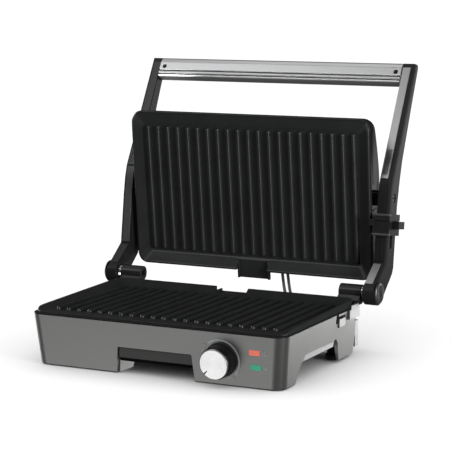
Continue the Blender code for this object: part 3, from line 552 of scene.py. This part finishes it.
for k, (a0, a1, b0, b1) in enumerate(((-3.5, -1.6, 7.52, 7.66), (-8.1, -6.5, 7.12, 7.26))):
    strip = prism([bar_point(a0, b0), bar_point(a1, b0), bar_point(a1, b1), bar_point(a0, b1)], "X",
                  0.4 - BAR_HALF_L, BAR_HALF_L - 0.4)
    add("bar_channel_%d" % k, strip, BAR_LINE, "handle_frame")

# ------------------------------------------------------------------ arm trims
FRONT_LINE = [(337.2, 343.0), (262.5, 210.0), (258.0, 195.0), (254.3, 175.0), (245.5, 110.0), (213.0, 86.8)]
TRIM_SPANS = (("upper", (341.5, 211.0)), ("mid", (208.6, 112.0)), ("lower", (109.0, 89.0)))
# Painted light and shade: each stretch of trim on each arm takes a lighter or darker copy of one brushed trim
# for how the light falls on it, and the lower right one takes the bright bar metal.
TRIM_LIT_AND_SHADED = {("upper", 1): TRIM, ("mid", 1): TRIM_SHADED, ("lower", 1): BAR,
              ("upper", -1): TRIM_SHADED, ("mid", -1): TRIM_MID, ("lower", -1): TRIM_SHADED}


def front_y(z):
    """Where the arms' front edge is at height z."""
    for (y1, z1), (y0, z0) in zip(FRONT_LINE[:-1], FRONT_LINE[1:]):
        if z0 <= z <= z1:
            return y0 + (y1 - y0) * (z - z0) / (z1 - z0)
    return FRONT_LINE[-1][0]


def front_strip(za, zb, d0, d1):
    """Outline from height za to zb, between two depths measured from the arms' front edge."""
    ya, yb = front_y(za), front_y(zb)
    return [(ya + d0, za), (yb + d0, zb), (yb + d1, zb), (ya + d1, za)]


for s, tag in SIDES:
    for part, (z1, z0) in TRIM_SPANS:
        zs = [z1] + [p[1] for p in FRONT_LINE if z0 < p[1] < z1] + [z0]
        outline = [(front_y(z), z) for z in zs] + [(front_y(z) + 1.2, z) for z in reversed(zs)]
        piece = prism(outline, "X", *sorted((s * 171.0, s * 181.0)))
        if part == "upper":
            pocket = prism(front_strip(244.0, 215.5, -3, 0.55), "X", *sorted((s * 172.0, s * 179.0)))
            piece = carve(piece, [pocket])
        node = "arm_trim_%s_%s" % (part, tag)
        add("trim_%s_%s" % (part, tag), piece, TRIM_LIT_AND_SHADED[(part, s)], "handle_frame", [node],
            bevel=0.25, segments=2)
        # Painted shade: a darker trim piece laid in the pocket of the upper right trim, for the shade of the
        # recess.
        if part == "upper" and s == 1:
            recess_shade = prism(front_strip(243.6, 215.9, 0.40, 0.6), "X", 172.3, 178.7)
            add("trim_inlay_right", recess_shade, TRIM_MID, "handle_frame")

# ------------------------------------------------------------------ hinge parts
for s, tag in SIDES:
    turn = axis_at((s * 186.3, HINGE_Y, HINGE_Z), (90 * s, "Y"))
    disc = turned([(0.01, 2.6), (5.6, 2.6), (5.9, 2.35), (6.2, 2.35), (6.5, 2.6), (10.2, 2.6), (11.6, 2.2),
                   (12.7, 1.4), (13.2, 0.4), (13.2, 0.0), (0.01, 0.0)], 96)
    hexagon = prism(circle(0, 0, 4.2, n=6), "Z", 1.0, 6)
    add("hinge_disc_" + tag, carve(disc, [hexagon]), DISC, "handle_frame", ["hinge_cap_" + tag],
        at=turn, local=True, bevel=0.12, segments=2, angle=40)
    turn = axis_at((s * 166.2, HINGE_Y, HINGE_Z), (90 * s, "Y"))
    add("hinge_ring_" + tag, turned([(5.2, 3.9), (8.5, 3.9), (9.0, 3.4), (9.0, 2.3), (8.7, 2.0), (9.0, 1.7),
                                     (9.0, 0.5), (8.5, 0.0), (5.2, 0.0)], 96, closed=True), CHROME, "base",
        ["hinge_washer_" + tag], at=turn, local=True)
    turn = axis_at((s * 138.2, HINGE_Y, HINGE_Z), (90 * s, "Y"))
    pin = turned([(0.01, 48.0), (4.4, 48.0), (5.0, 47.4), (5.0, 0.6), (4.4, 0.0), (0.01, 0.0)], 64)
    add("hinge_bolt_" + tag, carve(pin, [prism(circle(0, 0, 3.5, n=6), "Z", -3, 5)]), GREY_DARK, "base",
        ["hinge_pin_" + tag], at=turn, bevel=0.1, angle=40)

# ------------------------------------------------------------------ knob, scale and marks
KNOB = front_plane(KNOB_X, KNOB_Z)
skirt = turned([(3.3, 14.6), (3.3, 15.9), (17.6, 15.9), (18.1, 15.6), (18.4, 15.0), (18.8, 11.0), (19.4, 3.4),
                (19.9, 1.8), (19.7, 1.0), (3.3, 1.0)], 120, closed=True)
add("knob_body", skirt, BLACK, "knob", ["knob_skirt"], at=KNOB, local=True)
face = turned([(0.01, 18.126), (16.5, 18.126), (17.2, 17.98), (17.6, 17.55), (17.8, 16.9), (17.8, 16.2),
               (0.01, 16.2)], 120)
pointer = block((-0.8, 0.8), (-19, -11.9), (17.3, 19.2))
pointer.transform(Matrix.Rotation(math.radians(POINTER_TURN), 4, "Z"))
add("knob_face", carve(face, [pointer]), SPUN, "knob", ["knob_cap"], at=KNOB, local=True)
ink = block((-0.7, 0.7), (-17.5, -12.1), (17.32, 17.6))
ink.transform(Matrix.Rotation(math.radians(POINTER_TURN), 4, "Z"))
add("knob_pointer", ink, BLACK, "knob", at=KNOB)


def arc_band(r0, r1, a0, a1, z0=0.25, z1=0.6, n=48):
    """Raised arc between two radii, from a0 to a1 degrees."""
    return prism(circle(0, 0, r1, a0, a1, n) + circle(0, 0, r0, a0, a1, n)[::-1], "Z", z0, z1)


add("scale_arc", arc_band(22.5, 24.5, -40, 128), PRINT, "base", ["temperature_scale"],
    at=KNOB)
add("scale_short_arc", arc_band(22.6, 24.0, 148, 162, n=10), PRINT, "base", at=KNOB)
for k, (a, r0, r1) in enumerate(((139, 22.4, 27.5), (-50, 22.4, 27.5), (170, 22.4, 24.0))):
    tick = block((r0, r1), (-0.5, 0.5), (0.25, 0.55))
    tick.transform(Matrix.Rotation(math.radians(a), 4, "Z"))
    add("scale_tick_%d" % k, tick, PRINT, "base", at=KNOB)

# pictograms beside the lamps: a switch ring with its bar, and a check mark
ring_mark = arc_band(1.9, 2.6, -235, 55, 0.05, 0.35, 28)
add("mark_power_ring", ring_mark, PRINT, "base", at=front_plane(139.5, 42.0))
add("mark_power_bar", block((-0.38, 0.38), (0.6, 3.2), (0.05, 0.35)), PRINT, "base",
    at=front_plane(139.5, 42.0))
check_mark = [(-2.9, 0.2), (-0.8, -2.1), (3.2, 2.3), (2.6, 2.9), (-0.8, -0.9), (-2.3, 0.8)]
add("mark_ready_check", prism(check_mark, "Z", 0.05, 0.35), PRINT, "base",
    at=front_plane(140.5, 25.3))

# ------------------------------------------------------------------ lamp lenses
for name, (lx, lz), mat in (("lens_power", POWER_LAMP, RED), ("lens_ready", READY_LAMP, GREEN)):
    f = inset(lz)
    lens = block((lx - 6.4, lx + 6.4), (f - 0.7, 9.1), (lz - 2.9, lz + 2.9))
    grooves = [block((lx - 5.6 + 1.6 * i, lx - 5.35 + 1.6 * i), (f - 2, f - 0.55), (lz - 2.2, lz + 2.2))
               for i in range(8)]
    add(name + "_ribbed", carve(lens, grooves), mat, "base", [name], bevel=0.12, segments=2)

# ------------------------------------------------------------------ lock collar and lever
COLLAR = axis_at((178.3, 265.4, 154.0), (-7.69, "X"))
collar_cuts = [block((-8.15, 8.1), (-14.3, 14.3), (-20, 20)),         # hole for the arm
               block((-8.6, 12), (-20, -15.9), (-3.6, 5.2)),
               block((9.6, 12), (-12, 20), (-5, 5)),
               block((-15, 15), (-3.3, 3.3), (-4.3, 4.3)),            # hole for the lever
               block((-7.4, 7.4), (-18.4, -17.1), (7.2, 11.0)),       # grooves across the front
               block((-7.4, 7.4), (-18.5, -17.2), (-11, -6))]
collar = carve(block((-11, 11), (-17.6, 17.6), (-13, 13)), collar_cuts)
collar = carve(collar, [block((-14, -10), (-22, -12), (-1.6, 6.4))], "UNION")
add("lock_sleeve", collar, GREY_DARK, "lock", ["lock_collar"], at=COLLAR, bevel=0.5,
    segments=3, angle=40)
for tag, z0, z1 in (("top", 10.6, 13.2), ("low", -13.2, -10.6)):
    add("lock_lip_" + tag, block((-11.2, 11.2), (-17.9, -13.5), (z0, z1)), TRIM_MID, "lock",
        at=COLLAR, bevel=0.5)
thumb = block((11.6, 18.2), (-3.6, 15.6), (-4.6, 4.6))
lever = carve(block((-10.6, 17.8), (-3, 3), (-4, 4)), [thumb], "UNION")
add("lock_thumb", lever, GREY_DARK, "lock", ["lock_lever"], at=COLLAR, bevel=0.7, segments=3)

# ------------------------------------------------------------------ leads
for tag, dx in (("a", 0.0), ("b", LEAD_PITCH)):
    route = [(49.5 + dx, 206, 47), (49.5 + dx, 262, 47), (40 + dx, 272, 60), (32.5 + dx, 278.4, 92)]
    path = round_path(route, 9.0, 8)
    data = bpy.data.curves.new("sleeve_" + tag, "CURVE")
    data.dimensions = "3D"
    data.bevel_depth = LEAD_R * MM
    data.bevel_resolution = 6
    data.use_fill_caps = True
    line = data.splines.new("POLY")
    line.points.add(len(path) - 1)
    for i, p in enumerate(path):
        line.points[i].co = (*((p + SHIFT) * MM), 1.0)
    sleeve = bpy.data.objects.new("sleeve_" + tag, data)
    bpy.context.scene.collection.objects.link(sleeve)
    data.materials.append(BRAID)
    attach(sleeve, "base")
    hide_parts("lead_" + tag)

# ------------------------------------------------------------------ kept CAD nodes
DRESS = {    # node: its material and the width of its rounded edges in mm
    # The drip tray's front takes the darker gunmetal copy as painted shade.
    "drip_tray": (GREY_DARK, 0.3), "drip_tray_front": (PAINT_SHADED, 0.4), "tray_guide": (BLACK_MATT, 0.2),
    "bottom_cover": (BLACK_MATT, 0.3), "power_inlet": (BLACK_MATT, 0.4), "knob_shaft": (STEEL, 0.1),
    "lower_reflector": (SHEET, 0.2), "upper_reflector": (SHEET, 0.2),
    "lower_element": (SHEATH, 0.0), "upper_element": (SHEATH, 0.0),
    "thermostat": (STEEL, 0.3), "lamp_block": (CERAMIC, 0.3), "terminal_block": (CERAMIC, 0.3),
}
# Painted shade: the pivot screws are black for the dark holes they sit in.
PAIRS = {"arm_": (GREY_DARK, 0.9), "hinge_bracket_": (BARREL, 0.5), "pivot_block_": (BLACK, 0.4),
         "pivot_screw_": (BLACK, 0.15), "plate_latch_": (PAINT, 0.4), "foot_front_": (RUBBER, 0.3),
         "foot_rear_": (RUBBER, 0.3)}
for _, tag in SIDES:
    DRESS.update({part + tag: finish for part, finish in PAIRS.items()})
for node, (mat, width) in DRESS.items():
    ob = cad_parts[node]
    ob.data.materials.clear()
    ob.data.materials.append(mat)
    if "custom_normal" in ob.data.attributes:
        ob.data.attributes.remove(ob.data.attributes["custom_normal"])
    ob.data.shade_smooth()
    weld = ob.modifiers.new("weld", "WELD")
    weld.merge_threshold = 0.000002
    flat = ob.modifiers.new("flat", "DECIMATE")
    flat.decimate_type = "DISSOLVE"
    flat.angle_limit = math.radians(0.4)
    soften(ob, width, 3, 35.0)

# ------------------------------------------------------------------ stage, light and camera
FLOOR_Z = -0.0001                         # in metres, as all that follows
CAMERA_AT = (0.9136, -1.8152, 0.4517)
CAMERA_TURN = (81.669, 0.05, 26.5545)     # degrees about X, Y and Z


def stage_floor():
    """Pale floor with a sun of its own, so that it stays evenly light."""
    bm = bmesh.new()
    bm.faces.new([bm.verts.new((x, y, FLOOR_Z)) for x, y in ((-60, -20), (60, -20), (60, 200), (-60, 200))])
    floor = bpy.data.objects.new("floor", mesh_from(bm, "floor"))
    bpy.context.scene.collection.objects.link(floor)
    floor.data.materials.append(surface("floor_paper", (0.92, 0.92, 0.92), 0.95, 0.0, 0.01, 2, 300, bump=0.02,
                                        Specular_IOR_Level=0.0))
    floor.visible_glossy = False
    floor.visible_diffuse = False
    floor.visible_shadow = False
    lit = bpy.data.collections.new("floor_only")
    lit.objects.link(floor)
    wash = bpy.data.lights.new("floor_wash", "SUN")
    wash.energy = 3.45
    wash.angle = math.radians(150)
    ob = bpy.data.objects.new("floor_wash", wash)
    bpy.context.scene.collection.objects.link(ob)
    ob.light_linking.receiver_collection = lit


stage_floor()


def softbox(name, place, target, size, power, only=None):
    """Area light aimed at `target`, which lights the pieces of `only` if that is given."""
    data = bpy.data.lights.new(name, "AREA")
    data.shape = "RECTANGLE"
    data.size, data.size_y = size
    data.energy = power
    ob = bpy.data.objects.new(name, data)
    bpy.context.scene.collection.objects.link(ob)
    ob.location = place
    ob.rotation_euler = (Vector(target) - Vector(place)).to_track_quat("-Z", "Y").to_euler()
    if only:
        ob.light_linking.receiver_collection = only


def group(label, names):
    made = bpy.data.collections.new(label)
    for name in names:
        made.objects.link(bpy.data.objects[name])
    return made


painted = group("painted", ["base_shell", "plate_latch_left", "plate_latch_right", "drip_tray_front",
                            "knob_face", "scale_arc", "scale_short_arc", "scale_tick_0", "scale_tick_1",
                            "scale_tick_2", "mark_power_ring", "mark_power_bar", "mark_ready_check",
                            "lens_power_ribbed", "lens_ready_ribbed"])
metalwork = group("metalwork", ["bar_extrusion", "hinge_ring_left", "hinge_ring_right", "sleeve_a",
                                "sleeve_b"])
coated = group("coated", ["lower_plate_cast", "lower_plate_cast_ridges", "upper_plate_cast",
                          "upper_plate_cast_ridges"])
uncoated = group("uncoated", [o.name for o in bpy.context.scene.objects
                              if o.type in ("MESH", "CURVE") and o.name != "floor"
                              and o.name not in coated.objects])

softbox("back_right", (1.15, 2.3, 0.1), (0, 0, 0.05), (1.3, 1.3), 36, painted)
softbox("front_low", (-1.15, -2.1, -1.25), (0, 0, 0.05), (1.5, 1.3), 13, painted)
softbox("front_top", (-1.3, -1.7, 2.1), (0, 0, 0.25), (1.4, 1.2), 9, uncoated)
softbox("strip_left", (-2.3, 0.5, 0.1), (0, 0, 0.05), (0.6, 1.8), 8)
softbox("strip_right", (2.2, -0.9, 0.5), (0, 0, 0.1), (0.5, 1.9), 17)
softbox("back_soft", (1.15, 2.3, 0.4), (0, 0, 0.1), (1.0, 1.2), 5, uncoated)
softbox("coat_front", (-1.15, -2.1, 0.95), (0, 0.1, 0.3), (1.7, 0.9), 12, coated)
softbox("coat_right", (2.2, -0.9, 0.6), (0, 0.1, 0.2), (0.4, 1.6), 32, coated)
softbox("coat_left", (-2.4, 0.3, 0.9), (0, 0.0, 0.1), (0.5, 1.2), 16, coated)
softbox("top", (-0.8, 0.4, 2.5), (0, 0, 0.1), (1.6, 1.3), 5, uncoated)
softbox("bar_low", (-0.9, -2.1, -1.2), (0, 0.15, 0.3), (1.5, 1.2), 50, metalwork)

world = bpy.data.worlds.new("studio")
world.use_nodes = True
world.node_tree.nodes["Background"].inputs["Color"].default_value = (1.0, 1.0, 1.0, 1.0)
world.node_tree.nodes["Background"].inputs["Strength"].default_value = 0.06
bpy.context.scene.world = world
bpy.context.scene.view_settings.view_transform = "Standard"

cam_data = bpy.data.cameras.new("camera")
cam_data.lens = 135.0
cam_data.sensor_width = 36.0
cam = bpy.data.objects.new("camera", cam_data)
bpy.context.scene.collection.objects.link(cam)
cam.location = CAMERA_AT
cam.rotation_euler = [math.radians(turn) for turn in CAMERA_TURN]
bpy.context.scene.camera = cam
